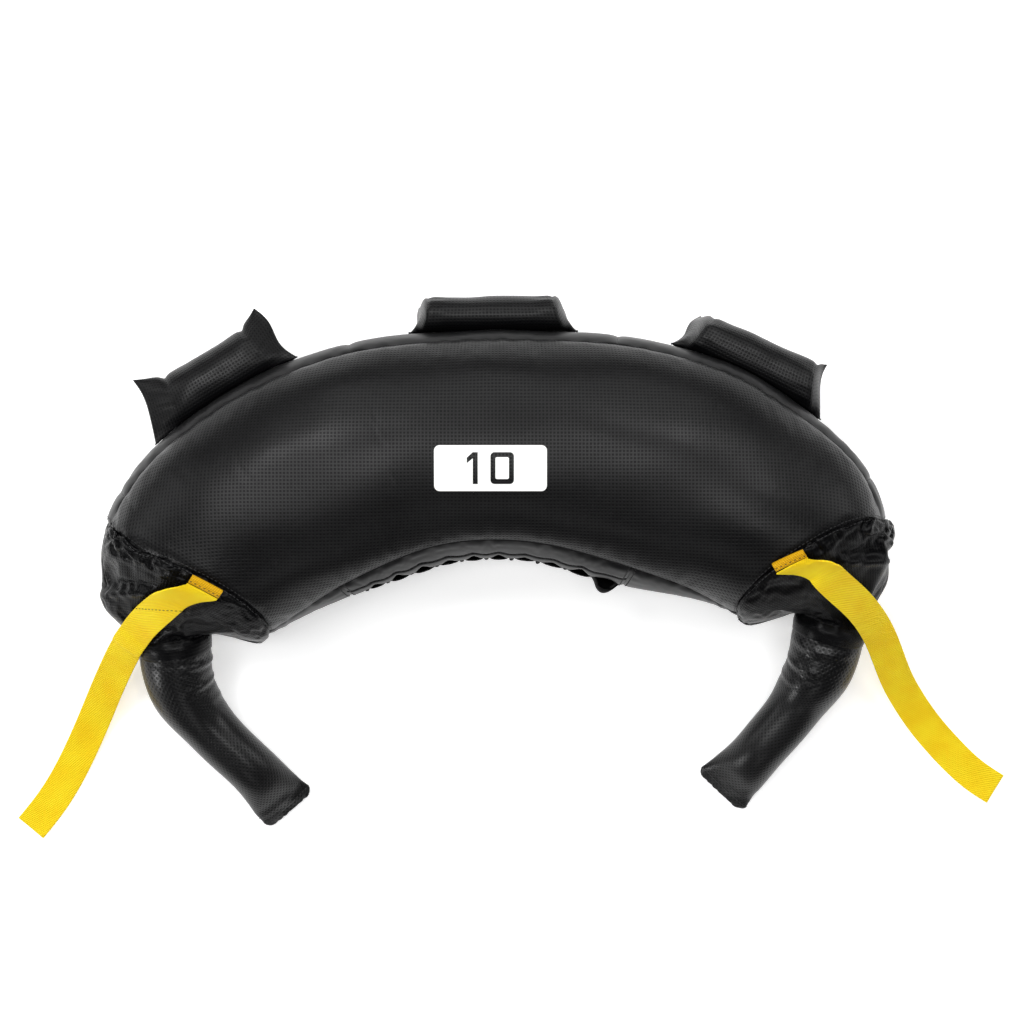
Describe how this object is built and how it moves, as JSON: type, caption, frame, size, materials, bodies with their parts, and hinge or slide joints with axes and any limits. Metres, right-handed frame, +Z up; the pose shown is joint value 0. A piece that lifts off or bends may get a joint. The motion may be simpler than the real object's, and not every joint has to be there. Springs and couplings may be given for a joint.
{
  "type": "bulgarian bag",
  "caption": "Crescent-shaped weighted training bag in black vinyl with stuffed arm handles, roll grips on the outer curve, webbing pull straps and a laced filling mouth.",
  "frame": {"origin": "on the flat of the underside, in the middle of the crescent", "axes": "+X along the crescent, towards the right arm as seen from above; +Y towards the outer curve with the roll grips; +Z up, from the underside to the face that carries the weight number"},
  "size_m": [0.7644, 0.4191, 0.1496],
  "materials": {
    "embossed_vinyl": "satin, fine square emboss",
    "smooth_vinyl": "satin, smooth",
    "polyester_webbing": "matte, fine weave",
    "lacing_cord": "matte, braided",
    "woven_sack": "matte, plain weave",
    "ballast": "matte, granular",
    "wool_wadding": "matte, loose fibre",
    "foam": "matte, open cell"
  },
  "bodies": {
    "bag": {"back_panel": "embossed_vinyl", "ballast_core": "ballast", "closure_lace": "lacing_cord", "closure_lip_back": "smooth_vinyl", "closure_lip_front": "smooth_vinyl", "front_panel": "embossed_vinyl", "inner_gusset_left": "smooth_vinyl", "inner_gusset_right": "smooth_vinyl", "inner_sack": "woven_sack", "left_end_cap": "embossed_vinyl", "left_end_wadding": "wool_wadding", "left_strap_tab": "polyester_webbing", "outer_gusset_centre": "smooth_vinyl", "outer_gusset_left": "smooth_vinyl", "outer_gusset_left_end": "smooth_vinyl", "outer_gusset_right": "smooth_vinyl", "outer_gusset_right_end": "smooth_vinyl", "right_end_cap": "embossed_vinyl", "right_end_wadding": "wool_wadding", "right_strap_tab": "polyester_webbing"},
    "left_arm": {"left_arm_sleeve": "embossed_vinyl", "left_arm_stuffing": "wool_wadding"},
    "right_arm": {"right_arm_sleeve": "embossed_vinyl", "right_arm_stuffing": "wool_wadding"},
    "left_strap": {"left_strap": "polyester_webbing"},
    "right_strap": {"right_strap": "polyester_webbing"},
    "grip_left": {"grip_left_cover": "embossed_vinyl", "grip_left_roll": "foam"},
    "grip_centre": {"grip_centre_cover": "embossed_vinyl", "grip_centre_roll": "foam"},
    "grip_right": {"grip_right_cover": "embossed_vinyl", "grip_right_roll": "foam"}
  },
  "joints": [
    {"name": "left_arm_bend", "type": "hinge", "parent": "bag", "child": "left_arm", "pos_m": [-0.247, -0.15, 0.048], "axis": [0, 0, 1], "range_deg": [-10, 35], "stiffness_Nm_per_rad": 2},
    {"name": "right_arm_bend", "type": "hinge", "parent": "bag", "child": "right_arm", "pos_m": [0.25, -0.139, 0.048], "axis": [0, 0, -1], "range_deg": [-10, 35], "stiffness_Nm_per_rad": 2},
    {"name": "left_strap_lift", "type": "hinge", "parent": "bag", "child": "left_strap", "pos_m": [-0.21837, -0.10927, 0.13497], "axis": [-0.873, 0.468, 0.1375], "range_deg": [0, 110]},
    {"name": "right_strap_lift", "type": "hinge", "parent": "bag", "child": "right_strap", "pos_m": [0.2163, -0.09234, 0.13757], "axis": [-0.8143, -0.5622, -0.1444], "range_deg": [0, 110]},
    {"name": "grip_left_lift", "type": "hinge", "parent": "bag", "child": "grip_left", "pos_m": [-0.20522, 0.03338, 0.06924], "axis": [0.8514, 0.5237, 0.0276], "range_deg": [-20, 25], "stiffness_Nm_per_rad": 0.5},
    {"name": "grip_centre_lift", "type": "hinge", "parent": "bag", "child": "grip_centre", "pos_m": [-0.00511, 0.08459, 0.07185], "axis": [0.9999, 0.0143, 0.0005], "range_deg": [-7, 25], "stiffness_Nm_per_rad": 0.5},
    {"name": "grip_right_lift", "type": "hinge", "parent": "bag", "child": "grip_right", "pos_m": [0.19152, 0.04459, 0.06979], "axis": [0.8793, -0.4757, -0.0234], "range_deg": [-12, 25], "stiffness_Nm_per_rad": 0.5}
  ]
}
